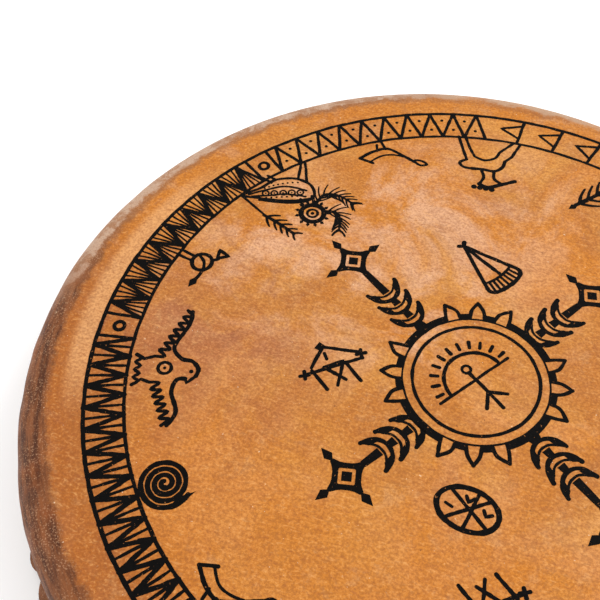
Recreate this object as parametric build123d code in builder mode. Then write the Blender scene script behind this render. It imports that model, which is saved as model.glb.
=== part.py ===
from build123d import *
import math
import os

# A round hand drum with one rawhide head laced to a laminated hoop. It lies on its back edge:
# the origin is the centre of that edge, +Z points out of the head, and lengths are in mm.

# Driving dimensions
DRUM_R = 250.0  # over the skin, half of a 500 mm drum
HOOP_DEPTH = 75.0
SKIN = 1.9  # dried rawhide
FIT_GAP = 0.1  # between the skin and the wood, and in each glue line between plies
PLY = 4.2
BEARING_ROUND = 12.6  # the hoop's front outer edge, which the head bends over
BACK_CHAMFER = 1.5  # the hoop's eased back edges
SCARF_ANGLE = 12.0  # each ply's glued joint slants this much across it
SCARF_LENGTH = 50.0
SCARF_GAP = 0.5
SCARF_START = 100.0  # degrees round the hoop to the outer ply's joint
SCARF_STEP = 120.0

LACE_HOLES = 32
LACE_Z = 24.0  # height of the holes above the back edge
HOLE_R = 2.4
LACE_R = 1.6
BRIDGE_GAP = 0.35  # between the skin and a lace that lies on it
BRIDGE_BULGE = 0.5  # how far a lace stands off half way between two holes
MOUTH_GAP = 3.0  # a lace straightens up this far inside the hoop, before its hole

FLARE_TOP = 18.0  # the skin stands away from the hoop below this height
FLARE_ANGLE = 47.0  # degrees out of the vertical
EDGE_Z = 5.0  # the cut edge of the skin
SCALLOP_R = 7.5

RING_R = 27.0  # centreline of the ring that gathers the laces
WIRE_R = 3.0

ARM_COLUMNS = 5  # laces lie side by side in two layers inside each handle arm
COLUMN_PITCH = 3.5
TURN_GAP = 0.3  # between the ring and a lace that turns round it
TURN_SLACK = 0.96  # bend radius of that turn, as a share of the room for it
TUCK_X = 62.0  # where a lace's tied end stops, inside the wrap
FAN_X = 112.0  # where the laces spread out to the hoop
FAN_BEND = 14.0  # bend radius where the laces spread out
MOUTH_BEND = 7.0  # in front of a hole
HOLE_BEND = 3.2  # over the rim of a hole
BRIDGE_BEND = 90.0  # along the skin to the next hole
WRAP_START = 35.0
WRAP_END = 100.0
WRAP_WALL = 2.6
WRAP_CORNER = 7.0
CAVITY_SPARE = 1.0  # the wrap's hollow is this much larger than the bundle of laces
CAVITY_CORNER = 2.2
BINDING_WIDTH = 6.0
BINDING_WALL = 1.3
BINDING_GAP = 0.05
BINDING_INSET = 2.0  # from the end of the wrap
ARMS = 4

CUT_PAST = 5.0  # how far a cutting tool runs past what it cuts

# Worked out from the driving dimensions
HOOP_R = DRUM_R - SKIN - FIT_GAP
PLY_NAMES = ["hoop_outer_ply", "hoop_middle_ply", "hoop_inner_ply"]
PLY_STEP = PLY + FIT_GAP
HOOP_THICKNESS = len(PLY_NAMES) * PLY_STEP - FIT_GAP
HOOP_INNER_R = HOOP_R - HOOP_THICKNESS
HOLE_STEP = 360 / LACE_HOLES
RUNS_PER_ARM = LACE_HOLES // ARMS
BRIDGE_R = DRUM_R + LACE_R + BRIDGE_GAP
MOUTH_R = HOOP_INNER_R - MOUTH_GAP
TURN_R = WIRE_R + LACE_R + TURN_GAP  # half the height between a lace's two layers
CAVITY_WIDTH = (ARM_COLUMNS - 1) * COLUMN_PITCH + 2 * LACE_R + CAVITY_SPARE
CAVITY_HEIGHT = 2 * (TURN_R + LACE_R) + CAVITY_SPARE
WRAP_WIDTH = CAVITY_WIDTH + 2 * WRAP_WALL
WRAP_HEIGHT = CAVITY_HEIGHT + 2 * WRAP_WALL

os.makedirs("parts", exist_ok=True)


def save(part, name):
    part.label = name
    export_step(part, f"parts/{name}.step")
    print(name, "volume", round(part.volume), "mm3, solids", len(part.solids()))


def lace_holes(reach_from, reach_to):
    """Cut the radial lace holes between two radii out of the part being built."""
    middle = (reach_from + reach_to) / 2
    with Locations((0, 0, LACE_Z)):
        with PolarLocations(middle, LACE_HOLES, start_angle=HOLE_STEP / 2):
            Cylinder(HOLE_R, reach_to - reach_from, rotation=(0, 90, 0), mode=Mode.SUBTRACT)


def on_circle(radius, degrees, height):
    angle = math.radians(degrees)
    return Vector(radius * math.cos(angle), radius * math.sin(angle), height)


# Hoop: three bent plies, glued, each closed by its own scarf joint. The joints are staggered.
for index, name in enumerate(PLY_NAMES):
    ply_middle = HOOP_R - index * PLY_STEP - PLY / 2
    scarf_at = SCARF_START + SCARF_STEP * index
    scarf_middle = on_circle(ply_middle, scarf_at, HOOP_DEPTH / 2)
    with BuildPart() as ply:
        with BuildSketch(Plane.XZ) as section:
            with Locations((HOOP_R - HOOP_THICKNESS / 2, HOOP_DEPTH / 2)):
                Rectangle(HOOP_THICKNESS, HOOP_DEPTH)
            back_corners = section.vertices().group_by(Axis.Y)[0]
            chamfer(back_corners, BACK_CHAMFER)
            front_outer_corner = section.vertices().group_by(Axis.Y)[-1].sort_by(Axis.X)[-1]
            fillet(front_outer_corner, BEARING_ROUND)
            with Locations((ply_middle, HOOP_DEPTH / 2)):
                Rectangle(PLY, HOOP_DEPTH, mode=Mode.INTERSECT)
        revolve(axis=Axis.Z)
        lace_holes(HOOP_INNER_R - CUT_PAST, HOOP_R + CUT_PAST)
        with Locations(Location(scarf_middle, (0, 0, scarf_at + 90 + SCARF_ANGLE))):
            Box(SCARF_LENGTH, SCARF_GAP, HOOP_DEPTH + CUT_PAST, mode=Mode.SUBTRACT)
    save(ply.part, name)

# Head: one rawhide skin, stretched over the front and down the side. Its cut edge stands
# away from the hoop in scallops between the lace holes.
under_z = HOOP_DEPTH + FIT_GAP
wall_in = DRUM_R - SKIN
flare = math.radians(FLARE_ANGLE)
frill_in = wall_in + (FLARE_TOP - EDGE_Z) * math.tan(flare)
frill_out = frill_in + SKIN * math.cos(flare)
frill_top = EDGE_Z + SKIN * math.sin(flare)
bend_z = FLARE_TOP + SKIN * math.tan(flare / 2)
with BuildPart() as head:
    with BuildSketch(Plane.XZ) as skin_section:
        with BuildLine():
            Polyline(
                (0, under_z),
                (wall_in, under_z),
                (wall_in, FLARE_TOP),
                (frill_in, EDGE_Z),
                (frill_out, frill_top),
                (DRUM_R, bend_z),
                (DRUM_R, under_z + SKIN),
                (0, under_z + SKIN),
                close=True,
            )
        make_face()
        front_corners = skin_section.vertices().filter_by_position(Axis.X, wall_in - 1, DRUM_R + 1)
        front_corners = front_corners.filter_by_position(Axis.Y, under_z - 1, under_z + SKIN + 1)
        inner_corner, outer_corner = front_corners.sort_by(Axis.Y)
        fillet(inner_corner, BEARING_ROUND + FIT_GAP)
        fillet(outer_corner, BEARING_ROUND + FIT_GAP + SKIN)
    revolve(axis=Axis.Z)
    lace_holes(wall_in - CUT_PAST, DRUM_R + CUT_PAST)
    with PolarLocations(frill_out, 2 * LACE_HOLES):
        Cylinder(SCALLOP_R, 4 * FLARE_TOP, mode=Mode.SUBTRACT)
save(head.part, "rawhide_head")

# Centre ring: round steel wire, welded closed.
with BuildPart() as ring:
    with Locations((0, 0, LACE_Z)):
        Torus(RING_R, WIRE_R)
save(ring.part, "centre_ring")


def lace_route():
    """The corners of one lace, which strings a quarter of the drum about the +X arm."""
    high = LACE_Z + TURN_R
    low = LACE_Z - TURN_R
    columns = [(j - (ARM_COLUMNS - 1) / 2) * COLUMN_PITCH for j in range(ARM_COLUMNS)]
    holes = [(i - (RUNS_PER_ARM - 1) / 2) * HOLE_STEP for i in range(RUNS_PER_ARM)]
    route = [((TUCK_X, columns[0], low), 0)]
    turn = TURN_SLACK * TURN_R
    for j, y in enumerate(columns):
        ring_x = math.sqrt(RING_R**2 - y**2) - TURN_R
        first = j == 0
        last = j == ARM_COLUMNS - 1
        if first:
            route += [((ring_x, y, low), turn), ((ring_x, y, high), turn)]
        else:
            route += [((FAN_X, y, high), FAN_BEND), ((ring_x, y, high), turn), ((ring_x, y, low), turn)]
        if last:
            break
        route.append(((FAN_X, y, high if first else low), FAN_BEND))
        out, back = holes[2 * j], holes[2 * j + 1]
        route += [
            (on_circle(MOUTH_R, out, LACE_Z), MOUTH_BEND),
            (on_circle(BRIDGE_R, out, LACE_Z), HOLE_BEND),
            (on_circle(BRIDGE_R + BRIDGE_BULGE, (out + back) / 2, LACE_Z), BRIDGE_BEND),
            (on_circle(BRIDGE_R, back, LACE_Z), HOLE_BEND),
            (on_circle(MOUTH_R, back, LACE_Z), MOUTH_BEND),
        ]
    route.append(((TUCK_X, columns[-1], low), 0))
    return route


# Laces: four rawhide thongs. Each passes out and back through eight holes, round the ring
# between them, and ends tucked under the wrap of its arm.
corners = lace_route()
points = [Vector(*place) if isinstance(place, tuple) else place for place, _ in corners]
bends = [radius for _, radius in corners[1:-1]]
print("lace bend radii", [round(radius, 1) for radius in bends])
for arm in range(ARMS):
    arm_angle = arm * 360 / ARMS
    arm_points = [point.rotate(Axis.Z, arm_angle) for point in points]
    with BuildPart() as lace:
        with BuildLine() as path:
            FilletPolyline(*arm_points, radius=bends)
        lace_line = path.wires()[0]
        with BuildSketch(Plane(origin=lace_line @ 0, z_dir=lace_line % 0)):
            Circle(LACE_R)
        sweep(path=lace_line)
    swept = math.pi * LACE_R**2 * lace_line.length
    print("length", round(lace_line.length), "section x length", round(swept))
    save(lace.part, f"lace_{arm + 1}")

# Handle wraps: a suede strip wound along each arm, over its bundle of laces.
for arm in range(ARMS):
    angle = math.radians(arm * 360 / ARMS)
    outward = Vector(math.cos(angle), math.sin(angle), 0)
    across = Vector(-math.sin(angle), math.cos(angle), 0)
    start = Plane(origin=outward * WRAP_START + Vector(0, 0, LACE_Z), x_dir=across, z_dir=outward)
    with BuildPart() as wrap:
        with BuildSketch(start):
            RectangleRounded(WRAP_WIDTH, WRAP_HEIGHT, WRAP_CORNER)
            RectangleRounded(CAVITY_WIDTH, CAVITY_HEIGHT, CAVITY_CORNER, mode=Mode.SUBTRACT)
        extrude(amount=WRAP_END - WRAP_START)
    save(wrap.part, f"handle_wrap_{arm + 1}")

    # Bindings: waxed thread whipped round both ends of the wrap.
    inner_corner = WRAP_CORNER + BINDING_GAP
    outer_corner = WRAP_CORNER + BINDING_WALL
    with BuildPart() as binding:
        for place in (WRAP_START + BINDING_INSET, WRAP_END - BINDING_INSET - BINDING_WIDTH):
            centre = outward * place + Vector(0, 0, LACE_Z)
            inner_size = (WRAP_WIDTH + 2 * BINDING_GAP, WRAP_HEIGHT + 2 * BINDING_GAP)
            outer_size = (WRAP_WIDTH + 2 * BINDING_WALL, WRAP_HEIGHT + 2 * BINDING_WALL)
            with BuildSketch(Plane(origin=centre, x_dir=across, z_dir=outward)):
                RectangleRounded(*outer_size, outer_corner)
                RectangleRounded(*inner_size, inner_corner, mode=Mode.SUBTRACT)
            extrude(amount=BINDING_WIDTH)
    save(binding.part, f"wrap_binding_{arm + 1}")
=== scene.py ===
import math

import bpy
from mathutils import Matrix, Vector, noise


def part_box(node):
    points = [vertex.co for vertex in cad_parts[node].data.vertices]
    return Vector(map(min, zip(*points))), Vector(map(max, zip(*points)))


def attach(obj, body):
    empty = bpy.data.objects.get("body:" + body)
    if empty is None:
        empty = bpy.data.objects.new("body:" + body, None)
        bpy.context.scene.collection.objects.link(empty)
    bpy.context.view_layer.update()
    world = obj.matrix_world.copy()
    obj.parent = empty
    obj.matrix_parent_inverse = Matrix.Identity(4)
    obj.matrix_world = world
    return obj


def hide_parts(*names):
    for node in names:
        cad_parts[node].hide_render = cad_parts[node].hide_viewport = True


# Looks of a round hand drum: a painted rawhide head laced over a laminated hoop, with a steel
# ring and four wrapped arms behind it. Shapes are worked out in mm, and meshes are in metres.

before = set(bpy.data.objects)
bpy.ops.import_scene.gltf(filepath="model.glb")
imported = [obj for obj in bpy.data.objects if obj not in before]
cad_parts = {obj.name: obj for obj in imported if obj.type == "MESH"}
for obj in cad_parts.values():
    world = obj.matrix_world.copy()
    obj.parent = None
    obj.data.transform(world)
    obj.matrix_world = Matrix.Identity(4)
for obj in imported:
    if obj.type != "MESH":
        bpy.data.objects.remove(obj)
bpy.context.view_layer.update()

MM = 0.001

# The skin, as the frame holds it
HEAD_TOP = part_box("rawhide_head")[1].z / MM
HOOP_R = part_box("hoop_outer_ply")[1].x / MM
LACE_Z = sum(corner.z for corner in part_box("centre_ring")) / 2 / MM
WRAP_LOW, WRAP_HIGH = (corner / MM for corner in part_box("handle_wrap_1"))
SKIN = 1.9
SKIN_GAP = 0.1
HOOP_ROUND = 12.6
BEND_R = HOOP_ROUND + SKIN_GAP + SKIN / 2  # the bend over the hoop's edge, at mid thickness
WALL_R = HOOP_R + SKIN_GAP + SKIN / 2
FLAT_R = WALL_R - BEND_R
MID_TOP = HEAD_TOP - SKIN / 2
LACE_HOLES = 32
HOLE_R = 2.4
FLARE_TOP = 18.0
FLARE_ANGLE = 50.0  # at the tip of a scallop, out of the vertical
SCALLOPS = 2 * LACE_HOLES
SCALLOP_REACH = 19.0  # from the bottom of the wall to a scallop's tip
AROUND = 9 * SCALLOPS  # mesh columns round the drum

# The painted design, in mm from the centre of its ring, which isn't quite the drum's centre
RING_CENTRE = (11.1, 1.1)
SUN_CENTRE = (7.1, -1.6)
RIM_OUT = 220.9
RIM_IN = 197.7
LINE = 1.6
BRUSH = 1.35  # a loaded brush draws this much wider than the design
PAINT_TOP = 0.12
PAINT_SUNK = 0.10
# The sun's arms: azimuth, how far the crescents are moved out, and the star's distance
SUN_ARMS = ((144.8, 6.0, 112.0), (235.5, 0.0, 97.5), (54.5, 0.0, 98.0), (323.5, 5.0, 108.0))


# ---- Plane geometry

def polar(radius, degrees, centre=(0.0, 0.0)):
    angle = math.radians(degrees)
    return (centre[0] + radius * math.cos(angle), centre[1] + radius * math.sin(angle))


def smooth(value, low, high):
    t = min(max((value - low) / (high - low), 0.0), 1.0)
    return t * t * (3 - 2 * t)


def line(corners, step=1.3, closed=False):
    """Points along straight runs between corners."""
    found = []
    ends = list(corners) + [corners[0]] if closed else list(corners)
    for (ax, ay), (bx, by) in zip(ends, ends[1:]):
        count = max(1, round(math.hypot(bx - ax, by - ay) / step))
        found += [(ax + (bx - ax) * i / count, ay + (by - ay) * i / count) for i in range(count)]
    return found if closed else found + [ends[-1]]


def curve(corners, step=1.3, closed=False):
    """Points along a smooth curve through the corners."""
    count = len(corners)
    found = []
    for i in range(count if closed else count - 1):
        near = [(i + k) % count if closed else min(max(i + k, 0), count - 1) for k in (-1, 0, 1, 2)]
        p, q, r, s = (Vector(corners[k]) for k in near)
        parts = max(2, round((r - q).length / step))
        for j in range(parts):
            t = j / parts
            place = 2 * q + (r - p) * t + (2 * p - 5 * q + 4 * r - s) * t * t
            place += (3 * q - p - 3 * r + s) * t * t * t
            found.append(tuple(place / 2))
    return found if closed else found + [tuple(corners[-1])]


def arc(centre, radius, start, end, step=2.0):
    count = max(3, round(abs(math.radians(end - start)) * radius / step))
    return [polar(radius, start + (end - start) * i / count, centre) for i in range(count + 1)]


def circle(centre, radius, step=2.4):
    return arc(centre, radius, 0, 360, min(step, radius / 2))[:-1]


def zigzag(start, end, teeth, depth):
    """A toothed line from start to end. Its teeth stand out on the left."""
    a, b = Vector(start), Vector(end)
    along = (b - a) / (2 * teeth)
    side = Vector((-along.y, along.x)).normalized() * depth
    return [tuple(a + along * i + side * (i % 2)) for i in range(2 * teeth + 1)]


def turned(points, degrees, origin=(0.0, 0.0)):
    c, s = polar(1, degrees)
    return [(origin[0] + x * c - y * s, origin[1] + x * s + y * c) for x, y in points]


def skin_relief(x, y):
    """How far the stretched head stands above or below flat, in mm, at a point on the drum."""
    waves = math.sin(x / 17 + 1.3) * math.sin(y / 21 - 0.4)
    waves += math.sin((x + 1.4 * y) / 38 + 2.1) + 0.6 * math.sin((x - y) / 26)
    return 0.1 * waves * (1 - smooth(math.hypot(x, y), 208, 233))


# ---- Materials

def srgb(red, green, blue):
    """A colour given as 0 to 255, as the shader wants it."""
    def linear(value):
        share = value / 255
        return share / 12.92 if share <= 0.04045 else ((share + 0.055) / 1.055) ** 2.4
    return (linear(red), linear(green), linear(blue), 1.0)


class Look:
    """One material, with short ways to add its nodes. Its colour is built up in coats."""

    def __init__(self, name, metallic=0.0, specular=0.35):
        self.material = bpy.data.materials.new(name)
        self.material.use_nodes = True
        self.tree = self.material.node_tree
        self.shader = self.tree.nodes["Principled BSDF"]
        self.feed(self.shader, {"Metallic": metallic, "Specular IOR Level": specular})
        self.place = self.node("TexCoord", {}, "Object")
        self.colour = None

    def feed(self, made, inputs):
        for key, value in inputs.items():
            if isinstance(value, bpy.types.NodeSocket):
                self.tree.links.new(value, made.inputs[key])
            else:
                made.inputs[key].default_value = value

    def node(self, kind, inputs, output=0, **settings):
        """Add a node, feed its inputs, and give one of its outputs."""
        made = self.tree.nodes.new("ShaderNode" + kind)
        for key, value in settings.items():
            setattr(made, key, value)
        self.feed(made, inputs)
        return made.outputs[output]

    def vector(self, operation, a, b=(0, 0, 0), output="Vector"):
        return self.node("VectorMath", {0: a, 1: b}, output, operation=operation)

    def math(self, operation, a, b):
        return self.node("Math", {0: a, 1: b}, operation=operation)

    def scaled(self, value, factor, plus=0.0):
        return self.math("ADD", self.math("MULTIPLY", value, factor), plus)

    def noise(self, scale, detail, warp=0.0, at=None, roughness=0.55):
        return self.node("TexNoise", {
            "Vector": self.place if at is None else at, "Scale": scale, "Detail": detail,
            "Roughness": roughness, "Distortion": warp})

    def streaks(self, around, across, roughness=0.55):
        """Noise drawn out along the drum's edge, with features per metre along and across it."""
        stretched = self.vector("MULTIPLY", self.place, (around, around, across))
        outwards = self.math("MULTIPLY", self.radius(), across)
        inputs = {"Vector": stretched, "W": outwards, "Scale": 1.0, "Detail": 5.0, "Roughness": roughness}
        return self.node("TexNoise", inputs, noise_dimensions="4D")

    def span(self, value, low, high, to_low=0.0, to_high=1.0):
        """Value eased from to_low at low to to_high at high."""
        inputs = dict(enumerate((value, low, high, to_low, to_high)))
        return self.node("MapRange", inputs, interpolation_type="SMOOTHSTEP")

    def patches(self, scale, detail, low, high, to_low=0.0, to_high=1.0, warp=0.0, roughness=0.55):
        """Noise, eased from to_low where it is low to to_high where it is high."""
        cloud = self.noise(scale, detail, warp, roughness=roughness)
        return self.span(cloud, low, high, to_low, to_high)

    def mix(self, share, a, b, blend="MIX"):
        return self.node("Mix", {0: share, 6: a, 7: b}, 2, data_type="RGBA", blend_type=blend)

    def all_of(self, *shares):
        product = shares[0]
        for share in shares[1:]:
            product = self.math("MULTIPLY", product, share)
        return product

    def base(self, share, tone, other):
        """Start the colour with two tones, given as 0 to 255, and the share of the second."""
        self.colour = self.mix(share, srgb(*tone), srgb(*other))

    def coat(self, tone, *shares):
        """Lay a tone over the colour, by the product of the shares."""
        self.colour = self.mix(self.all_of(*shares), self.colour, srgb(*tone))

    def radius(self):
        return self.vector("LENGTH", self.vector("MULTIPLY", self.place, (1, 1, 0)), output="Value")

    def height(self):
        return self.node("SeparateXYZ", {0: self.place}, 2)

    def facing(self, degrees, inner, outer):
        """1 near an azimuth of the drum, easing to 0 from inner to outer degrees away from it."""
        flat = self.vector("NORMALIZE", self.vector("MULTIPLY", self.place, (1, 1, 0)))
        near = self.vector("DOT_PRODUCT", flat, (*polar(1, degrees), 0), "Value")
        return self.span(near, polar(1, outer)[0], polar(1, inner)[0])

    def finish(self, roughness, relief, depth_mm):
        """Join the colour, a roughness and a bump to the shader."""
        normal = self.node("Bump", {"Strength": 1.0, "Distance": depth_mm * MM, "Height": relief})
        self.feed(self.shader, {"Base Color": self.colour, "Roughness": roughness, "Normal": normal})
        return self.material


def hide_colour(look):
    """Rawhide: orange tan, with clouds, pinkish and mauve patches and a browner left side."""
    radius = look.radius()
    clouds = look.patches(17, 6, 0.34, 0.66, warp=0.8)
    look.base(clouds, (186, 116, 50), (209, 145, 72))
    look.coat((201, 124, 36), look.patches(13, 4, 0.44, 0.6, 0.05, 0.85, warp=0.6))
    pale = look.patches(15, 6, 0.44, 0.62, warp=0.5, roughness=0.7)
    upper_left = look.scaled(look.facing(128, 25, 75), 0.62, 0.22)
    look.coat((222, 174, 148), pale, look.span(radius, 0.215, 0.15), upper_left)
    mauve = look.patches(21, 7, 0.5, 0.66, warp=0.9, roughness=0.7)
    left = look.all_of(look.facing(196, 10, 50), look.span(radius, 0.07, 0.13))
    look.coat((150, 92, 64), mauve, look.scaled(left, 0.65, 0.26))
    look.coat((198, 121, 36), look.span(radius, 0.214, 0.226, 0.0, 0.75))
    ashy = look.patches(27, 6, 0.5, 0.62, warp=0.4, roughness=0.7)
    look.coat((204, 148, 108), look.span(radius, 0.216, 0.224), ashy, 0.6)
    tan = look.patches(24, 6, 0.36, 0.6, 0.2, 0.75, warp=0.6)
    tanned = look.all_of(look.facing(192, 12, 34), tan, look.span(radius, 0.05, 0.11))
    look.coat((164, 98, 66), tanned, look.span(radius, 0.21, 0.17))
    near_side = look.all_of(look.facing(262, 25, 70), look.span(radius, 0.05, 0.13))
    look.coat((200, 122, 38), near_side, 0.6)
    brown_side = look.all_of(look.facing(210, 18, 50), look.span(radius, 0.17, 0.22))
    look.coat((150, 80, 36), brown_side, 0.6)
    by_border = look.all_of(look.span(radius, 0.2085, 0.2125), look.span(radius, 0.227, 0.219))
    look.coat((226, 170, 122), by_border, look.facing(176, 14, 30), 0.7)
    faded = look.patches(48, 7, 0.55, 0.68, 0.0, 0.38, warp=0.3, roughness=0.72)
    look.coat((204, 154, 112), faded)


def worn_edge(look):
    """The rubbed shoulder: nearly white along one stretch, dark brown with painted shade on the left, pale
    elsewhere.
    """
    worn_side, shaded_side, far_side, right_side = 143, 206, 80, 320  # azimuths
    ragged = look.math("SUBTRACT", look.noise(75, 8, 0.3, roughness=0.75), 0.5)
    shoulder = look.math("ADD", look.radius(), look.math("MULTIPLY", ragged, 0.016))
    speckle = look.noise(1050, 3)
    upper = look.span(look.height(), 0.034, 0.06)
    rubbed = look.all_of(look.span(shoulder, 0.237, 0.243), look.patches(22, 4, 0.4, 0.62))
    look.coat((158, 112, 76), rubbed, upper, 0.6)
    # Painted shade with the hide's own brown: on the left, where the shoulder turns from the light, it goes
    # to streaky dark browns.
    drawn = look.streaks(38, 240, roughness=0.7)
    browns_and_shade = look.mix(look.span(drawn, 0.36, 0.64), srgb(60, 27, 11), srgb(122, 70, 36))
    browns_and_shade = look.mix(look.patches(30, 5, 0.5, 0.68, 0.0, 0.6), browns_and_shade, srgb(134, 70, 32))
    dark = look.all_of(look.span(shoulder, 0.2285, 0.2345), look.facing(shaded_side, 27, 47), 0.94)
    look.colour = look.mix(dark, look.colour, browns_and_shade)
    # Darker along the far bend of the shoulder, with pale frosting laid over it.
    far_bend = look.all_of(look.facing(far_side, 35, 60), look.span(look.height(), 0.05, 0.066))
    far_dark_line = look.all_of(look.span(shoulder, 0.23, 0.234), look.patches(26, 5, 0.36, 0.56, 0.2, 0.7))
    look.coat((140, 84, 40), far_bend, far_dark_line)
    frost = look.all_of(look.span(shoulder, 0.2345, 0.2385), look.patches(34, 6, 0.38, 0.56, 0.3, 0.95))
    look.coat((170, 138, 112), far_bend, frost)
    right_dark = look.all_of(look.span(shoulder, 0.232, 0.24), look.facing(right_side, 35, 80))
    look.coat((104, 64, 38), right_dark, 0.7)
    worn_stretch = look.all_of(look.facing(worn_side, 27, 44), upper)
    look.coat((128, 82, 50), worn_stretch, look.span(shoulder, 0.2305, 0.2345), 0.65)
    worn = look.all_of(worn_stretch, look.span(shoulder, 0.2345, 0.2375))
    look.coat((150, 106, 74), worn, 0.75)
    bare = look.patches(85, 7, 0.43, 0.56, 0.1, 0.9, warp=0.4, roughness=0.7)
    look.coat((184, 156, 134), worn, bare, look.span(speckle, 0.34, 0.52, 0.45, 0.9))
    dust = look.all_of(look.span(speckle, 0.54, 0.64), look.patches(40, 5, 0.38, 0.58, 0.35, 0.9))
    look.coat((190, 146, 110), dust, look.span(shoulder, 0.2275, 0.2335), 0.5)


def rawhide():
    look = Look("rawhide_worn", specular=0.18)
    hide_colour(look)
    aged = (0.87, 0.83, 0.69, 1.0)
    look.colour = look.mix(1.0, look.colour, aged, "MULTIPLY")
    grain = look.noise(640, 5, roughness=0.7)
    drawn_out = look.vector("MULTIPLY", look.place, (190, 620, 400))
    fibre = look.noise(1.0, 4, 0.8, at=drawn_out, roughness=0.65)
    look.coat((150, 84, 40), look.span(fibre, 0.3, 0.5, 0.5, 0.0))
    look.coat((220, 162, 100), look.span(fibre, 0.52, 0.72, 0.0, 0.42))
    look.coat((116, 64, 28), look.span(grain, 0.4, 0.56, 0.38, 0.0))
    look.coat((222, 166, 100), look.span(grain, 0.54, 0.7, 0.0, 0.34))
    worn_edge(look)
    look.coat((112, 66, 36), look.span(look.height(), 0.017, 0.007, 0.0, 0.5))
    look.coat((232, 204, 172), look.patches(430, 2, 0.72, 0.78, 0.0, 0.6))
    nicks = look.noise(260, 2, at=look.vector("ADD", look.place, (1, 2, 3)))
    look.coat((98, 52, 28), look.span(nicks, 0.73, 0.78, 0.0, 0.7))
    relief = look.scaled(grain, 0.8, look.math("MULTIPLY", look.noise(120, 5), 0.9))
    return look.finish(look.patches(70, 4, 0.3, 0.7, 0.46, 0.68), relief, 0.25)


def paint():
    """Matt black paint that lets the skin's grain through here and there."""
    look = Look("matt_black_paint", specular=0.05)
    look.base(look.noise(300, 3), (2, 2, 2), (12, 9, 8))
    gaps = look.patches(480, 5, 0.635, 0.69, 0.0, 0.85, warp=0.3, roughness=0.7)
    look.coat((150, 98, 54), gaps)
    relief = look.noise(620, 4)
    return look.finish(look.span(relief, 0.3, 0.7, 0.5, 0.75), relief, 0.12)


def bent_wood(name, light, dark):
    """A bent ply, with its grain along the bend."""
    look = Look(name, specular=0.3)
    grain = look.streaks(9, 480)
    bands = look.noise(1.0, 3, 0.6, at=look.vector("MULTIPLY", look.place, (5, 5, 70)))
    look.base(look.span(grain, 0.35, 0.65), light, dark)
    look.coat(dark, look.span(bands, 0.45, 0.65, 0.0, 0.45))
    look.coat((128, 88, 54), look.patches(16, 5, 0.55, 0.72, 0.0, 0.4, warp=0.5))
    return look.finish(look.span(grain, 0.3, 0.7, 0.42, 0.6), grain, 0.12)


def thong():
    """Twisted rawhide cord: amber, darker where it was handled wet."""
    look = Look("twisted_thong", specular=0.4)
    look.base(look.patches(45, 4, 0.35, 0.65), (190, 140, 84), (224, 184, 128))
    fibre = look.noise(760, 4, 0.8)
    look.coat((132, 86, 46), look.span(fibre, 0.38, 0.52, 0.65, 0.0))
    look.coat((140, 94, 54), look.span(look.radius(), 0.11, 0.03, 0.0, 0.4))
    return look.finish(look.span(fibre, 0.3, 0.7, 0.38, 0.62), fibre, 0.35)


def brushed_steel():
    look = Look("brushed_steel", metallic=1.0, specular=0.5)
    scratches = look.streaks(20, 1900)
    look.base(scratches, (150, 150, 152), (205, 205, 206))
    look.coat((128, 116, 102), look.patches(120, 5, 0.55, 0.72, 0.0, 0.5))
    return look.finish(look.span(scratches, 0.3, 0.7, 0.24, 0.42), scratches, 0.03)


def suede():
    look = Look("brown_suede", specular=0.15)
    nap = look.noise(850, 4)
    rubbed = look.noise(70, 5, 0.6)
    look.base(look.span(nap, 0.35, 0.65), (92, 58, 36), (138, 94, 60))
    look.coat((164, 120, 82), look.span(rubbed, 0.5, 0.7, 0.0, 0.5))
    look.feed(look.shader, {"Sheen Weight": 0.3, "Sheen Roughness": 0.5})
    return look.finish(look.span(rubbed, 0.4, 0.7, 0.92, 0.72), nap, 0.35)


def waxed_thread():
    look = Look("waxed_thread", specular=0.45)
    twist = look.noise(1500, 3, 1.0)
    look.base(look.span(twist, 0.35, 0.65), (26, 20, 16), (74, 56, 42))
    return look.finish(look.span(twist, 0.3, 0.7, 0.35, 0.55), twist, 0.2)


def studio_floor():
    look = Look("studio_floor", specular=0.1)
    soft = look.noise(3, 2)
    look.base(soft, (250, 250, 250), (253, 253, 253))
    return look.finish(0.9, soft, 0.01)


# ---- Meshes

def make_piece(name, points, faces, material, smooth_below=None):
    """One mesh, from points in mm, that rides on the drum. Edges flatter than an angle are smooth."""
    mesh = bpy.data.meshes.new(name)
    mesh.from_pydata([(x * MM, y * MM, z * MM) for x, y, z in points], [], faces)
    mesh.update()
    if smooth_below:
        mesh.shade_smooth()
        mesh.set_sharp_from_angle(angle=math.radians(smooth_below))
    mesh.materials.append(material)
    piece = bpy.data.objects.new(name, mesh)
    bpy.context.scene.collection.objects.link(piece)
    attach(piece, "root")
    return piece


def skin_rows():
    """The flat, bend and wall of the skin at mid thickness, outwards: (radius, height, tilt)."""
    flat_rows = 38
    rows = [(FLAT_R * i / flat_rows, MID_TOP, 90.0) for i in range(1, flat_rows + 1)]
    for tilt in (75, 60, 45, 30, 15, 0):
        out, up = polar(BEND_R, tilt)
        rows.append((FLAT_R + out, MID_TOP - BEND_R + up, tilt))
    heights = [56, 50, 44, 39, 34.5, 31, 28.5, LACE_Z + HOLE_R, LACE_Z, LACE_Z - HOLE_R, FLARE_TOP + 1.5]
    rows += [(WALL_R, height, 0.0) for height in heights]
    return rows


def scallop(degrees):
    """How far the cut edge reaches at an azimuth: 1 at a scallop's tip, little at a lace hole."""
    lobe = abs(math.sin(math.radians(degrees) * SCALLOPS / 2)) ** 0.55
    which = math.floor(degrees * SCALLOPS / 360)
    uneven = 0.5 + 0.5 * noise.noise((which * 7.31, 0.5, 2.0))
    return 0.42 + lobe * (0.50 + 0.08 * uneven)


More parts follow.
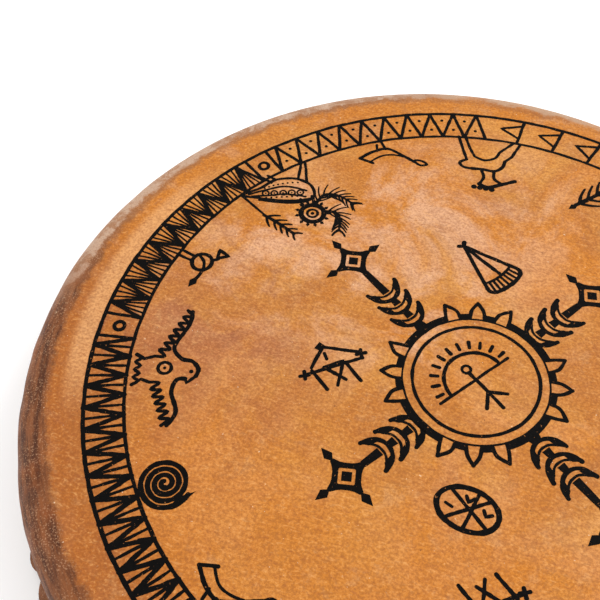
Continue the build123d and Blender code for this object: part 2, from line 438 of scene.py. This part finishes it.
def wall_bulge(degrees, height):
    """Slack in the side of the skin, in mm, that stands off the hoop above the lace holes."""
    wave = noise.noise((*polar(6, degrees), height / 30))
    wave += 0.6 * noise.noise((*polar(17, degrees), height / 40 + 5))
    window = smooth(height, 29, 38) * (1 - smooth(height, 60, 75))
    pleat = 0.5 + 0.5 * polar(1, degrees * LACE_HOLES)[0]  # between each two lace holes
    pull = 0.5 * pleat * smooth(height, 28, 33) * (1 - smooth(height, 36, 50))
    return max(0.0, 1.3 * (wave + 0.35)) * window + pull


def skin_column(degrees):
    """Outer and inner points of the skin at one azimuth, from near the centre to the cut edge."""
    outer, inner = [], []

    def add(radius, height, tilt, half):
        c, s = polar(1, tilt)
        for side, found in ((half, outer), (-half, inner)):
            x, y = polar(radius + side * c, degrees)
            found.append((x, y, height + side * s))

    for radius, height, tilt in skin_rows():
        if tilt == 90:
            height += skin_relief(*polar(radius, degrees))
        else:
            radius += wall_bulge(degrees, height)
        add(radius, height, tilt, SKIN / 2)
    radius, height = WALL_R, FLARE_TOP + 0.3
    reach = scallop(degrees) * SCALLOP_REACH
    flare = FLARE_ANGLE * (0.62 + 0.38 * scallop(degrees))
    parts, bent_parts, thin_edge = 8, 3, 0.55
    for part in range(1, parts + 1):
        tilt = flare * min(1.0, part / bent_parts)
        down, out = polar(reach / parts, tilt)
        radius += out
        height -= down
        add(radius, height, tilt, SKIN / 2 * (thin_edge if part == parts else 1.0))
    return outer, inner


def rawhide_skin(material):
    """The head, closed all round, with its lace holes open."""
    columns = [skin_column(360 * k / AROUND) for k in range(AROUND)]
    depth = len(columns[0][0])
    hole_row = [round(height, 2) for _, height, _ in skin_rows()].index(round(LACE_Z, 2))
    per_hole = AROUND // LACE_HOLES
    hole_columns = range(per_hole // 2, AROUND, per_hole)
    points = []
    for outer, inner in columns:
        points += outer + inner

    def index(column, row, side):
        return ((column % AROUND) * 2 + side) * depth + row

    # Columns and rows away from a hole's middle: the eight corners that are moved onto its rim
    ring = [(1, 0), (1, 1), (0, 1), (-1, 1), (-1, 0), (-1, -1), (0, -1), (1, -1)]
    for column in hole_columns:
        for step, (aside, down) in enumerate(ring):
            across, drop = polar(HOLE_R, 45 * step)
            for side in (0, 1):
                at = index(column + aside, hole_row + down, side)
                radius = math.hypot(*points[at][:2])
                x, y = turned([(radius, across)], 360 * column / AROUND)[0]
                points[at] = (x, y, LACE_Z - drop)
    faces = []
    for column in range(AROUND):
        beside_hole = (column - per_hole // 2) % per_hole in (0, per_hole - 1)
        for row in range(depth - 1):
            if beside_hole and row in (hole_row - 1, hole_row):
                continue
            for side in (0, 1):
                quad = [index(column, row, side), index(column, row + 1, side),
                        index(column + 1, row + 1, side), index(column + 1, row, side)]
                faces.append(tuple(quad if side == 0 else reversed(quad)))
        edge = [index(column, depth - 1, 0), index(column, depth - 1, 1),
                index(column + 1, depth - 1, 1), index(column + 1, depth - 1, 0)]
        faces.append(tuple(edge))
    for column in hole_columns:
        for (a, b), (c, d) in zip(ring, ring[1:] + ring[:1]):
            here = (column + a, hole_row + b)
            there = (column + c, hole_row + d)
            faces.append((index(*there, 0), index(*here, 0), index(*here, 1), index(*there, 1)))
    for side in (0, 1):
        middle = len(points)
        points.append((0.0, 0.0, MID_TOP + skin_relief(0, 0) + SKIN * (0.5 - side)))
        for column in range(AROUND):
            fan = [middle, index(column, 0, side), index(column + 1, 0, side)]
            faces.append(tuple(fan if side == 0 else reversed(fan)))
    points, faces = without_loose(points, faces)
    skin = make_piece("drum_skin", points, faces, material, smooth_below=50)
    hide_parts("rawhide_head")


def without_loose(points, faces):
    """The same faces, with only the points that they use."""
    used = sorted({corner for face in faces for corner in face})
    place = {old: new for new, old in enumerate(used)}
    return [points[old] for old in used], [tuple(place[corner] for corner in face) for face in faces]


# ---- The painted design

class Ink:
    """Painted marks, as thin closed prisms that follow the skin."""

    def __init__(self):
        self.points = []
        self.faces = []
        self.marks = 0

    def lay(self, places):
        """Add each place on the head at the top and at the foot of the paint, and give their start."""
        lift = PAINT_TOP + 0.003 * (self.marks % 8)  # so that marks that cross don't share a plane
        self.marks += 1
        first = len(self.points)
        for x, y in places:
            x += RING_CENTRE[0]
            y += RING_CENTRE[1]
            level = HEAD_TOP + skin_relief(x, y)
            self.points += [(x, y, level + lift), (x, y, level - PAINT_SUNK)]
        return first

    def band(self, left, right, closed=False):
        """A ribbon between two edges."""
        first = self.lay([place for pair in zip(left, right) for place in pair])
        count = len(left)
        for i in range(count if closed else count - 1):
            a = first + 4 * i
            b = first + 4 * ((i + 1) % count)
            self.faces += [(a, a + 2, b + 2, b), (a + 1, b + 1, b + 3, a + 3)]
            self.faces += [(a, b, b + 1, a + 1), (a + 2, a + 3, b + 3, b + 2)]
        if not closed:
            end = first + 4 * (count - 1)
            self.faces += [(first, first + 1, first + 3, first + 2), (end, end + 2, end + 3, end + 1)]

    def stroke(self, path, width=LINE, closed=False, tip=1.0):
        """A brush line that wavers a little. Its ends are round, and tip is its width at the far one."""
        count = len(path)
        stations = []
        for i, (x, y) in enumerate(path):
            ahead = path[(i + 1) % count] if closed or i < count - 1 else path[i]
            behind = path[i - 1] if closed or i > 0 else path[i]
            along = (Vector(ahead) - Vector(behind)).normalized()
            waver = 0.22 * noise.noise((0.3 * x, 0.3 * y, width))
            waver += 0.16 * noise.noise((1.1 * x, 1.1 * y, 4.0))
            half = BRUSH * width / 2 * (1 + waver)
            half *= 1 + (tip - 1) * i / count
            drift = 0.3 * noise.noise((0.11 * x, 0.11 * y, 9.0))
            stations.append((Vector((x, y)), along, half, drift))
        if not closed:
            caps = ((0.95, 0.32), (0.7, 0.72), (0.35, 0.93))
            place, along, half, drift = stations[0]
            start = [(place - along * half * out, along, half * share, drift) for out, share in caps]
            place, along, half, drift = stations[-1]
            end = [(place + along * half * out, along, half * share, drift) for out, share in caps[::-1]]
            stations = start + stations + end
        left, right = [], []
        for place, along, half, drift in stations:
            side = Vector((-along.y, along.x))
            left.append(tuple(place + side * (half + drift)))
            right.append(tuple(place - side * (half - drift)))
        self.band(left, right, closed)

    def fill(self, outline):
        """A filled shape."""
        area = sum(a[0] * b[1] - b[0] * a[1] for a, b in zip(outline, outline[1:] + outline[:1]))
        if area < 0:
            outline = outline[::-1]
        first = self.lay(outline)
        count = len(outline)
        self.faces.append(tuple(first + 2 * i for i in range(count)))
        self.faces.append(tuple(first + 2 * i + 1 for i in reversed(range(count))))
        for i in range(count):
            a = first + 2 * i
            b = first + 2 * ((i + 1) % count)
            self.faces.append((a, a + 1, b + 1, b))

    def dot(self, centre, radius):
        self.fill(circle(centre, radius))

    def piece(self, name, material):
        return make_piece(name, self.points, self.faces, material)


class Figure:
    """Draws in a figure's own frame: turned, then moved to its origin."""

    def __init__(self, ink, origin, turn, scale=1.0, mirror=1):
        self.ink = ink
        self.origin = origin
        self.turn = turn
        self.scale = scale
        self.mirror = mirror

    def put(self, points):
        sized = [(x * self.scale * self.mirror, y * self.scale) for x, y in points]
        return turned(sized, self.turn, self.origin)

    def lines(self, *paths, width=LINE, tip=1.0):
        for corners in paths:
            self.ink.stroke(line(self.put(corners)), width, tip=tip)

    def curves(self, *paths, width=LINE, tip=1.0):
        for corners in paths:
            self.ink.stroke(curve(self.put(corners)), width, tip=tip)

    def outline(self, corners, width=LINE, round_corners=True):
        placed = self.put(corners)
        path = curve(placed, closed=True) if round_corners else line(placed, closed=True)
        self.ink.stroke(path, width, closed=True)

    def ring(self, centre, radius, width=LINE):
        self.ink.stroke(self.put(circle(centre, radius)), width, closed=True)

    def fill(self, corners):
        self.ink.fill(line(self.put(corners), closed=True))

    def leaf(self, start, end, half):
        """A filled leaf between two points."""
        a, b = Vector(start), Vector(end)
        side = Vector((a.y - b.y, b.x - a.x)).normalized() * half
        middle = (a + b) / 2
        self.fill([tuple(a), tuple(middle - side), tuple(b), tuple(middle + side)])

    def dot(self, centre, radius):
        self.ink.dot(self.put([centre])[0], radius)

    def twigs(self, stem, count, reach, lean=40, width=1.2):
        """Short strokes on both sides of a stem, leaning towards its far end."""
        places = curve(stem, step=1.0)
        for i in range(count):
            at = min(len(places) - 2, round(len(places) * (i + 0.6) / count))
            x, y = places[at]
            along = math.degrees(math.atan2(places[at + 1][1] - y, places[at + 1][0] - x))
            length = reach * (1 - 0.45 * i / count)
            for side in (-1, 1):
                elbow = polar(0.5 * length, along + side * (lean + 5), (x, y))
                tip = polar(length, along + side * (lean - 2), (x, y))
                self.curves([(x, y), elbow, tip], width=width, tip=0.5)


def rim(azimuth, share):
    """A point on the painted border. Share 0 is on its inner ring and 1 on its outer one."""
    return polar(RIM_IN + share * (RIM_OUT - RIM_IN), azimuth)


def border_teeth(ink, start, end, count, width):
    """Draw teeth between two azimuths, and give where each starts, its outer apex and where it ends."""
    pitch = (end - start) / count
    for i in range(count):
        a, apex, b = (start + (i + part) * pitch for part in (0, 0.5, 1))
        ink.stroke(line([rim(a, 0), rim(apex, 1)]), width)
        ink.stroke(line([rim(apex, 1), rim(b, 0)]), width)
        yield a, apex, b


def dotted_teeth(ink, start, end, count):
    for _, apex, b in border_teeth(ink, start, end, count, 1.7):
        ink.dot(rim(apex, 0.30), 1.15)
        ink.dot(rim(b, 0.70), 1.15)


def hatched_teeth(ink, start, end, count, hatches, width):
    """Teeth with thinner lines that fan out of every apex."""
    for a, apex, b in border_teeth(ink, start, end, count, width + 0.5):
        for i in range(1, hatches + 1):
            ahead = (b - a) * i / (hatches + 1)
            ink.stroke(line([rim(apex, 0.97), rim(a + ahead, 0.03)]), width, tip=0.75)
            if b < end - 0.1:  # the last tooth has none after it
                ink.stroke(line([rim(b, 0.03), rim(apex + ahead, 0.97)]), width, tip=0.75)


def circle_cell(ink, azimuth):
    """A small circle between two lines, where two sections meet."""
    ink.stroke(circle(rim(azimuth, 0.5), 3.2), 1.9, closed=True)
    for side in (-2.2, 2.2):
        ink.stroke(line([rim(azimuth + side, 0), rim(azimuth + side, 1)]), 1.6)


def pennants(ink, start, end, count):
    """Slanted lines across the border, each with an outlined triangle on it."""
    pitch = (end - start) / count
    for i in range(count):
        foot = start + (i + 0.35) * pitch
        ink.stroke(line([rim(foot, 0), rim(foot - 0.6, 1)]), 1.7)
        corners = [rim(foot - 0.1, 0.22), rim(foot - 0.45, 0.80), rim(foot + 3.4, 0.56)]
        ink.stroke(line([corners[0], corners[2], corners[1]]), 1.5)


def border(material):
    rings = Ink()
    for radius, width in ((RIM_OUT, 1.85), (RIM_IN, 1.6)):
        rings.stroke(circle((0, 0), radius, 3), width, closed=True)
    rings.piece("paint_border_rings", material)
    teeth = Ink()
    dotted_teeth(teeth, 97.0, 140.5, 10)
    circle_cell(teeth, 142.7)
    hatched_teeth(teeth, 144.9, 185.0, 9, 3, 1.2)
    circle_cell(teeth, 187.2)
    hatched_teeth(teeth, 189.4, 246.0, 15, 1, 1.6)
    circle_cell(teeth, 248.2)
    pennants(teeth, 250.4, 301.0, 7)
    circle_cell(teeth, 303.2)
    dotted_teeth(teeth, 305.4, 348.9, 10)
    circle_cell(teeth, 351.1)
    hatched_teeth(teeth, 353.3, 393.4, 9, 3, 1.35)
    circle_cell(teeth, 395.6 - 360)
    pennants(teeth, 37.8, 95.4, 8)
    teeth.piece("paint_border_pattern", material)


def sun_rays(ink):
    """Flame-shaped rays, three between each two arms, with the black band between them."""
    arms = sorted(azimuth for azimuth, _, _ in SUN_ARMS)
    band_from = []
    for arm, next_arm in zip(arms, arms[1:] + [arms[0] + 360]):
        gap = next_arm - arm
        for i in range(3):
            at = arm + gap * (0.285 + 0.215 * i)
            lean = 2.0 * (1 - i)
            tip = polar(55, at - lean, SUN_CENTRE)
            for side in (-1, 1):
                foot = polar(43.5, at + side * 5.7, SUN_CENTRE)
                knee = polar(49.5, at + side * 4.0, SUN_CENTRE)
                ink.stroke(curve([foot, knee, tip]), 1.7)
            band_from.append((at - 5.7, at + 5.7))
    ring = 42.6
    for (_, start), (end, _) in zip(band_from, band_from[1:] + [(band_from[0][0] + 360, 0)]):
        wide = 4.6 if end - start > 15 else 4.2
        outer = arc(SUN_CENTRE, ring + wide, start, end)
        inner = [tuple(Vector(SUN_CENTRE).lerp(Vector(place), ring / (ring + wide))) for place in outer]
        ink.band(inner, outer)
    for radius, width in ((ring + 0.1, 0.9), (36.8, 1.55)):
        ink.stroke(circle(SUN_CENTRE, radius, 2.2), width, closed=True)


def arm_star(figure, at):
    """The star at an arm's end: black, with a light square line and a black core."""
    star_tip = [(12.8, -1.2), (12.8, 1.2), (9.3, 2.7), (7.3, 4.1), (5.7, 5.7), (4.1, 7.3), (2.7, 9.3)]
    square_side = [(6.3, -0.4), (6.3, 0.4), (5.2, 1.5), (4.3, 2.4), (3.35, 3.35), (2.4, 4.3), (1.5, 5.2)]
    edges = []
    for part in (square_side, star_tip):
        around = [place for quarter in range(4) for place in turned(part, 90 * quarter)]
        edges.append(figure.put([(x + at, y) for x, y in around]))
    figure.ink.band(*edges, closed=True)
    figure.fill([(at + 4.0, 0), (at, 4.0), (at - 4.0, 0), (at, -4.0)])
    for turn in (0, 90, 270):
        leaf = turned([(11.8, 0), (16.0, -2.9), (22.0, 0), (16.0, 2.9)], turn)
        figure.fill([(x + at, y) for x, y in leaf])


def crescent(figure, at):
    """A horned moon across an arm, open outwards, drawn as an outline."""
    back = [(11.3, 10.8), (5.6, 9.0), (1.5, 5.2), (0, 0)]
    front = [(11.3, 10.8), (7.6, 7.2), (5.0, 3.4), (4.5, 0)]
    for half, width in ((back, 2.0), (front, 1.2)):
        mirrored = [(x, -y) for x, y in half[:-1]]
        figure.curves([(at + x, y) for x, y in mirrored + half[::-1]], width=width)
    for side in (-1, 1):
        figure.leaf((at + 11.6, side * 11.0), (at + 3.4, side * 5.4), 1.9)


def sun_arm(ink, azimuth, lift, star):
    figure = Figure(ink, SUN_CENTRE, azimuth)
    places = [45.0 + lift, 56.5 + lift, 67.5 + lift]
    for at in places:
        crescent(figure, at)
    for start, end in zip([at + 6.0 for at in places], places[1:] + [star - 11.5]):
        wide = 2.7
        figure.fill([(start, -wide), (end, -wide * 0.8), (end, wide * 0.8), (start, wide)])
    figure.fill([(45.0, -4.5), (places[0] + 1.0, -2.8), (places[0] + 1.0, 2.8), (45.0, 4.5)])
    arm_star(figure, star)


def sun(material):
    rings = Ink()
    sun_rays(rings)
    rings.piece("paint_sun", material)
    arms = Ink()
    for azimuth, lift, star in SUN_ARMS:
        sun_arm(arms, azimuth, lift, star)
    arms.piece("paint_sun_arms", material)
    sign = Figure(Ink(), SUN_CENTRE, 53.0)
    sign.lines([(-27, 0), (25, 0)], width=1.4)
    sign.ink.stroke(sign.put(arc((0, 0), 18.5, 4, 176)), 1.8)
    for i in range(11):
        at = 10 + 16 * i
        sign.lines([polar(22, at), polar(26, at)], width=1.7)
    sign.lines([(0, 6), (0, -23)], [(0, -10), (8, -18)], [(0, -10), (-8, -18)], width=1.7)
    sign.ring((0, 8.5), 2.6, width=1.4)
    sign.ink.piece("paint_centre_sign", material)


# Each figure on the border stands on its inner ring: x runs along the ring and y inwards.

def horned_animal(figure):
    figure.outline([(53, 8), (40, 8), (27, 6), (14, 12), (8, 22), (11, 32), (20, 31), (32, 25), (44, 16)])
    figure.curves([(49, 9.5), (36, 11.5), (23, 15), (13, 25)], width=1.2)
    figure.curves([(48, 12), (37, 17), (26, 21.5), (16, 29.5)], width=1.2)
    figure.curves([(45, 17.5), (33, 26.5), (21, 32.5), (12, 33.5)], width=1.4)
    for i in range(5):
        centre = (38.5 - 5.3 * i, 14 + 2.6 * i)
        figure.ring(centre, 2.2, width=0.9)
        figure.dot(centre, 0.6)
    for i in range(8):
        figure.dot((37 - 3.2 * i, 9.6 + 0.12 * i * i), 0.75)
        figure.dot((40 - 3.2 * i, 17.8 + 1.45 * i), 0.75)
    figure.lines([(27, 6), (30, 0)], [(31, 7), (34, 0)], [(13, 13), (4, 0)], [(9, 18), (1, 0)], width=1.5)
    figure.curves([(12, 31), (13, 35), (15, 38)], [(20, 30), (21, 34), (21, 37)], width=1.6)
    head = (19, 45)
    figure.ring(head, 7.6, width=2.6)
    figure.ring(head, 3.5, width=1.3)
    figure.dot(head, 1.3)
    for turn in range(15, 366, 27):
        figure.leaf(polar(8.4, turn, head), polar(12.2, turn + 4, head), 1.3)
    for stem in ([(12, 38), (4, 34), (-4, 39), (-9, 51)], [(10, 48), (5, 52), (6, 59), (11, 67)]):
        figure.curves(stem, width=1.9, tip=0.5)
        figure.twigs(stem, 10, 11, lean=40, width=1.1)
    figure.lines([(54, 8), (47, 33)], width=1.3)
    branch = [(48, 31), (43, 42), (38, 55)]
    figure.curves(branch, width=1.7)
    figure.twigs(branch, 5, 9, lean=42, width=1.5)


def canoe(figure):
    figure.curves([(30, 15), (20, 10), (9, 9), (0, 17), (-7, 24)], width=1.8)
    figure.curves([(24, 20), (15, 15), (7, 15), (0, 18)], width=1.2)
    figure.lines([(30, 15), (22, 21)], [(13, 0), (11, 9)], width=1.6)
    figure.lines([(17, 10), (16, 4)], width=1.3)
    figure.outline([(-7, 23), (-10, 28), (-15, 28), (-12, 24)], width=1.4)


def long_legs(figure):
    figure.lines([(36, 3), (31, 15), (27, 24)], [(32, 1), (26, 13), (22, 20)], width=1.6)
    figure.curves([(27, 24), (31, 28), (27, 32), (16, 31), (7, 31), (2, 26), (1, 20)], width=1.8)
    figure.curves([(22, 20), (15, 22), (8, 18), (6, 12)], width=1.5)
    figure.lines([(6, 12), (-2, 1)], [(1, 20), (-3, 14), (-7, 1)], width=1.5)
    figure.curves([(16, 31), (13, 38), (15, 45)], [(7, 31), (6, 38), (0, 42)], width=1.7)
    figure.curves([(15, 45), (9, 47), (0, 42), (-8, 37)], width=2.2)
    for x in (18, 14, 10, 6):
        figure.dot((x, 48.5), 2.0)


def fir_branch(figure):
    stem = [(-7, 40), (-15, 26), (-25, 4)]
    figure.curves(stem, width=2.2)
    figure.twigs(stem, 6, 14, lean=40, width=1.9)
    figure.leaf((-8, 39), (-4, 46), 2.2)


def bird(figure):
    figure.curves([(-40, 34), (-30, 33), (-14, 26), (-6, 31), (-4, 38), (1, 42), (6, 41)], width=2.0)
    figure.curves([(39, 28), (30, 32), (17, 28), (9, 30), (8, 35)], width=2.0)
    figure.lines([(6, 41), (11, 36), (8, 35)], width=1.5)
    figure.dot((3, 38), 1.3)
    figure.curves(zigzag((-7, 15), (-41, 31), 7, -5.5), zigzag((11, 14), (39, 25), 6, 5.5), width=1.6)
    figure.lines([(-7, 15), (-5, 9), (-8, 4)], [(11, 14), (9, 9), (13, 4)], width=1.6)
    figure.curves(zigzag((-8, 4), (13, 4), 4, 3.5), width=1.5)
    figure.ring((1, 22), 4.0, width=1.6)
    figure.dot((1, 22), 1.0)


def coiled_line(figure):
    centre, turns, inner, growth, count = (0, 16), 3.6, 1.2, 13.6, 150
    shares = [i / count for i in range(count + 1)]
    path = [polar(inner + growth * share, 360 * turns * share - 175, centre) for share in shares]
    figure.ink.stroke(figure.put(path), 2.25)
    figure.leaf(path[-7], (11, 30), 2.0)


def ringed_staff(figure):
    figure.lines([(-1.5, 0), (-1.0, 10)], [(3.0, 0), (3.0, 10.5)], width=1.5)
    figure.ring((1, 17), 6.6, width=2.0)
    figure.curves([(-3, 13), (0, 18), (6, 21)], width=1.5)
    figure.lines([(-3, 22), (-6, 25)], width=1.8)
    figure.outline([(-6, 24), (-13, 22), (-11, 30)], width=1.8, round_corners=False)
    figure.curves([(6, 21), (12, 21), (17, 20)], width=1.6)
    figure.leaf((12, 21), (22, 20), 2.6)


def rim_figures(material):
    for name, draw, azimuth, mirror in (
        ("horned_animal", horned_animal, 135, 1), ("canoe", canoe, 115, 1), ("long_legs", long_legs, 92, 1),
        ("fir_branch", fir_branch, 76, 1), ("bird", bird, 195, 1), ("coiled_line", coiled_line, 219, 1),
        ("ringed_staff", ringed_staff, 168.6, 1), ("second_canoe", canoe, 244, -1),
        ("second_bird", bird, 275, -1), ("second_branch", fir_branch, 302, -1),
        ("second_horned_animal", horned_animal, 336, -1), ("second_coiled_line", coiled_line, 356, -1),
        ("second_long_legs", long_legs, 22, 1), ("second_staff", ringed_staff, 48, 1),
    ):
        figure = Figure(Ink(), polar(RIM_IN, azimuth), azimuth + 90, mirror=mirror)
        draw(figure)
        figure.ink.piece("paint_" + name, material)


# The figures in the field stand free, each a little way from the sun's centre.

def fringed_fan(figure):
    figure.lines([(0, 0), (33, 12.4)], [(0, 0), (33, -12.4)], [(0, 0), (30, 1.5)], width=1.9)
    edge = [(33, 12.4), (36.5, 13), (39.5, 10), (41, 0), (39.5, -10), (36.5, -13), (33, -12.4)]
    figure.curves(edge, width=2.0)
    figure.ink.stroke(figure.put(arc((0, 0), 32, -20, 20)), 1.4)
    for i in range(7):
        at = -15 + 5 * i
        figure.lines([polar(32.5, at), polar(39.5, at)], width=1.3)
    figure.lines([(-2, -2.5), (0, 0), (-2, 2.5)], width=2.2)


def trestle(figure):
    figure.lines([(-17, 10), (10, 14)], [(-15, 9), (-17, -8)], [(-19, -14), (14, 10)], width=1.7)
    figure.lines([(-16, -10), (-2, -21)], [(4, 3), (18, -8)], [(-9, -5), (8, -10)], width=1.7)
    figure.lines([(-9, -5), (2, 4), (4, -16)], [(-12, 6), (-9, 2)], width=1.5)
    figure.fill([(-20, 8), (-15, 7), (-13, 12), (-18, 14)])
    for x, y in ((12, 13), (-20, -15)):
        figure.lines([(x - 2.5, y - 1.5), (x + 3, y + 1.5)], width=1.7)
        figure.lines([(x - 1, y + 3), (x + 1.5, y - 2.5)], width=1.7)


def split_oval(figure):
    half_length, half_width = 17, 12
    places = (polar(1, turn) for turn in range(0, 360, 6))
    path = [(half_length * x, half_width * y) for x, y in places]
    figure.ink.stroke(figure.put(path), 2.3, closed=True)
    figure.lines([(-12, 8), (13, -7)], [(3, 11.5), (1, -11.5)], [(-10, -9), (10, 9)], width=1.6)
    figure.lines([(-3, 7), (-1, 4), (1.5, 7)], [(8, 3), (10, 0), (13, 2)], [(-12, -1), (-8, -2)], width=1.5)


def field_figures(material):
    sx, sy = SUN_CENTRE
    for name, draw, east, north, turn in (
        ("fringed_fan", fringed_fan, -26.6, 96.7, -34), ("trestle", trestle, -79, -13, 0),
        ("split_oval", split_oval, 11, -80, -8), ("second_fan", fringed_fan, 88, -8, 20),
        ("second_trestle", trestle, 30, -128, 180), ("second_oval", split_oval, 92, 60, 70),
    ):
        scale = 0.86 if draw is trestle else 1.0
        figure = Figure(Ink(), (sx + east, sy + north), turn, scale)
        draw(figure)
        figure.ink.piece("paint_" + name, material)


# ---- Handle arms

def rounded_rectangle(width, height, corner, count):
    """Points evenly round a rounded rectangle, each with its outward normal."""
    quarter = math.pi * corner / 2
    runs = [height - 2 * corner, quarter, width - 2 * corner, quarter] * 2
    found = []
    for i in range(count):
        along = sum(runs) * i / count
        run = 0
        while along > runs[run]:
            along -= runs[run]
            run += 1
        side, bend = divmod(run, 2)
        ahead, aside = (width / 2, height / 2) if side % 2 == 0 else (height / 2, width / 2)
        place, normal = (ahead, along - aside + corner), (1.0, 0.0)
        if bend:
            angle = along / quarter * 90
            place = polar(corner, angle, (ahead - corner, aside - corner))
            normal = polar(1, angle)
        found.append(turned([place, normal], 90 * side))
    return found


def arm_point(arm, along, across, up):
    """A point on one of the four arms, in mm: along it from the drum's axis, across it, and up."""
    x, y = turned([(along, across)], 90 * arm)[0]
    return (x, y, LACE_Z + up)


def suede_wrap(arm, material):
    """A strip wound round an arm, each turn lapping over the one before."""
    node = f"handle_wrap_{arm + 1}"
    start, end = WRAP_LOW.x, WRAP_HIGH.x
    _, width, height = WRAP_HIGH - WRAP_LOW
    lap, pitch, wall, count = 1.0, 11.0, 2.6, 60
    lapped = 0.93  # share of a turn over which the strip rises before it steps down
    hollow = rounded_rectangle(width - 2 * wall, height - 2 * wall, 2.4, count)
    skin = rounded_rectangle(width, height, 7.0, count)
    stations = round((end - start) / 0.8)  # 0.8 mm apart
    points, faces = [], []
    for i in range(stations + 1):
        along = start + (end - start) * i / stations
        for k, ((x, y), (nx, ny)) in enumerate(skin):
            phase = (along / pitch - k / count) % 1.0
            inset = lap * (phase / lapped if phase < lapped else (1 - phase) / (1 - lapped))
            inset += 0.12 * (1 + noise.noise((along / 4, x / 4, y / 4 + arm)))
            inset += 0.8 * (1 - smooth(min(along - start, end - along), 0, 1.6))  # rounds both ends
            points.append(arm_point(arm, along, x - nx * inset, y - ny * inset))
        for (x, y), _ in hollow:
            points.append(arm_point(arm, along, x, y))
    row = 2 * count
    for i in range(stations):
        for k in range(count):
            a, b = i * row + k, i * row + (k + 1) % count
            faces.append((a, b, b + row, a + row))
            faces.append((a + count, a + count + row, b + count + row, b + count))
    last = stations * row
    for k in range(count):
        b = (k + 1) % count
        faces.append((k, k + count, b + count, b))
        faces.append((last + k, last + b, last + b + count, last + k + count))
    wrap = make_piece(f"suede_wrap_{arm + 1}", points, faces, material, smooth_below=40)
    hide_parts(node)


def thread_binding(arm, material):
    """Waxed thread whipped round both ends of a wrap."""
    _, width, height = WRAP_HIGH - WRAP_LOW
    thread, gap, spacing = 0.55, 0.06, 1.14  # the thread's radius, its gap to the wrap, and turn to turn
    turns, sides, per_turn = 5, 8, 72
    path = rounded_rectangle(width + 2 * (thread + gap), height + 2 * (thread + gap), 7.6, per_turn)
    points, faces = [], []
    for start in (WRAP_LOW.x + 2.4, WRAP_HIGH.x - 7.6):
        first = len(points)
        count = turns * per_turn
        for i in range(count + 1):
            (x, y), (nx, ny) = path[i % per_turn]
            along = start + spacing * i / per_turn
            for side in range(sides):
                out, aside = polar(thread, 360 * side / sides)
                points.append(arm_point(arm, along + aside, x + nx * out, y + ny * out))
        for i in range(count):
            for side in range(sides):
                a = first + i * sides + side
                b = first + i * sides + (side + 1) % sides
                faces.append((a, a + sides, b + sides, b))
        faces.append(tuple(first + side for side in range(sides)))
        faces.append(tuple(first + count * sides + side for side in reversed(range(sides))))
    binding = make_piece(f"thread_binding_{arm + 1}", points, faces, material, smooth_below=60)
    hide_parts(f"wrap_binding_{arm + 1}")


# ---- Studio

def soft_light(name, place, size, power):
    """A round lamp, aimed at the drum."""
    data = bpy.data.lights.new(name, "AREA")
    data.shape = "DISK"
    data.size = size
    data.energy = power
    lamp = bpy.data.objects.new(name, data)
    lamp.location = place
    aim = Vector((0, 0, 0.05)) - Vector(place)
    lamp.rotation_euler = aim.to_track_quat("-Z", "Y").to_euler()
    bpy.context.scene.collection.objects.link(lamp)


def studio():
    radius, level, corners = 9.0, -0.0002, 48
    points = [polar(radius, 360 * k / corners) for k in range(corners)]
    mesh = bpy.data.meshes.new("floor")
    mesh.from_pydata([(x, y, level) for x, y in points], [], [tuple(range(corners))])
    mesh.materials.append(studio_floor())
    floor = bpy.data.objects.new("floor", mesh)
    bpy.context.scene.collection.objects.link(floor)
    soft_light("key", (1.1, 0.9, 1.7), 1.3, 24)
    soft_light("fill", (-1.5, -0.6, 1.3), 1.6, 10)
    world = bpy.data.worlds.new("studio")
    bpy.context.scene.world = world
    world.use_nodes = True
    background = world.node_tree.nodes["Background"].inputs
    background["Color"].default_value = (1, 1, 1, 1)
    background["Strength"].default_value = 1.0
    bpy.context.scene.view_settings.view_transform = "Standard"


def camera():
    """The camera is at the photograph's angle: above, near the head, and rolled to one side."""
    elevation, roll, distance = math.radians(57.43), 0.241, 0.5364
    lens_per_width = 1.5052
    target_right, target_down = 0.274, 0.124  # of the frame's width, where the painted centre shows
    sight = Vector((0, -math.cos(elevation), math.sin(elevation)))
    forward = -sight
    right = Vector((1, 0, 0))
    down = forward.cross(right)
    level = Matrix((right, down, forward))
    rolled = Matrix.Rotation(roll, 3, "Z") @ level
    aim = Vector((target_right, target_down, lens_per_width)).normalized()
    swing = Vector((0, 0, 1)).rotation_difference(aim).to_matrix()
    rows = swing @ rolled
    data = bpy.data.cameras.new("camera")
    data.sensor_width = 36.0
    data.lens = lens_per_width * data.sensor_width
    made = bpy.data.objects.new("camera", data)
    turn = Matrix((rows[0], -rows[1], -rows[2])).transposed()
    centre = Vector((RING_CENTRE[0] * MM, RING_CENTRE[1] * MM, HEAD_TOP * MM))
    made.matrix_world = Matrix.Translation(centre + sight * distance) @ turn.to_4x4()
    bpy.context.scene.collection.objects.link(made)
    bpy.context.scene.camera = made


def finish_cad_nodes():
    """Better materials for the CAD parts that keep their own shape."""
    ash = bent_wood("bent_ash", (214, 178, 130), (178, 134, 86))
    lacing = thong()
    looks = {"hoop_outer_ply": ash, "hoop_inner_ply": ash, "centre_ring": brushed_steel()}
    looks["hoop_middle_ply"] = bent_wood("bent_ash_core", (198, 158, 108), (158, 114, 70))
    for number in range(1, 5):
        looks[f"lace_{number}"] = lacing
    for node, look in looks.items():
        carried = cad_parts[node]
        carried.data.materials.clear()
        carried.data.materials.append(look)


finish_cad_nodes()
rawhide_skin(rawhide())
black_paint = paint()
border(black_paint)
sun(black_paint)
rim_figures(black_paint)
field_figures(black_paint)
wrap_leather = suede()
thread_look = waxed_thread()
for arm_number in range(4):
    suede_wrap(arm_number, wrap_leather)
    thread_binding(arm_number, thread_look)
studio()
camera()
